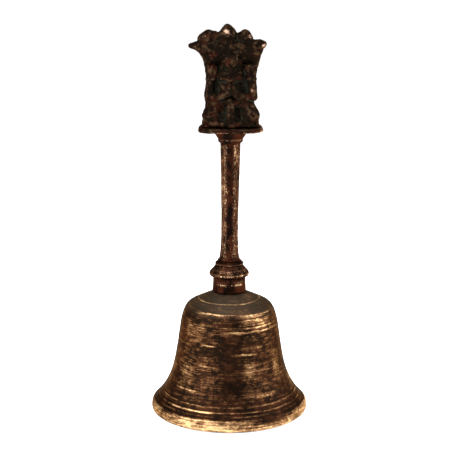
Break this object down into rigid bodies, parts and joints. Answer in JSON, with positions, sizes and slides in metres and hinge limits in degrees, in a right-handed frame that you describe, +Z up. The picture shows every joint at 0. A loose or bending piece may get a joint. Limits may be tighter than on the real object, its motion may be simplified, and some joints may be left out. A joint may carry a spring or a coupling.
{
  "type": "hand bell",
  "caption": "Brass hand bell with a flared cup, faceted handle and kneeling figure finial, rung by a clapper that hangs from a ring inside.",
  "frame": {"origin": "middle of the mouth plane, which the bell stands on", "axes": "+Z up the handle, -Y towards the front of the figure, +X to its viewer's right"},
  "size_m": [0.0772, 0.0772, 0.1896],
  "materials": {
    "rubbed_cup_brass": "turned cast brass, dark brown patina rubbed through to gold on the lip and in lathe streaks",
    "red_brown_patina": "cast brass, red brown patina with rubbed gold specks on the edges",
    "dark_verdigris_patina": "cast brass, near black patina with green in the hollows, worn",
    "clapper_brass": "turned brass, dull, rubbed where it strikes",
    "dull_iron": "forged iron, dark and dull"
  },
  "bodies": {
    "bell": {"bell_shell": "rubbed_cup_brass", "neck_collar": "red_brown_patina", "foot_cushion": "red_brown_patina", "foot_ring": "red_brown_patina", "handle_shaft": "red_brown_patina", "finial_socket": "red_brown_patina", "plinth": "dark_verdigris_patina", "figure": "dark_verdigris_patina", "hood": "dark_verdigris_patina", "finial_dowel": "dull_iron", "tie_rod": "dull_iron", "crown_washer": "dull_iron", "crown_nut": "dull_iron"},
    "clapper_link": {"clapper_link": "dull_iron"},
    "clapper": {"clapper_stem": "dull_iron", "clapper_ball": "clapper_brass"}
  },
  "joints": [
    {"name": "link_swing", "type": "hinge", "parent": "bell", "child": "clapper_link", "pos_m": [0, 0, 0.0454], "axis": [0, 1, 0], "range_deg": [-32, 32]},
    {"name": "clapper_rock", "type": "hinge", "parent": "clapper_link", "child": "clapper", "pos_m": [0, 0, 0.0376], "axis": [1, 0, 0], "range_deg": [-10, 10]}
  ]
}
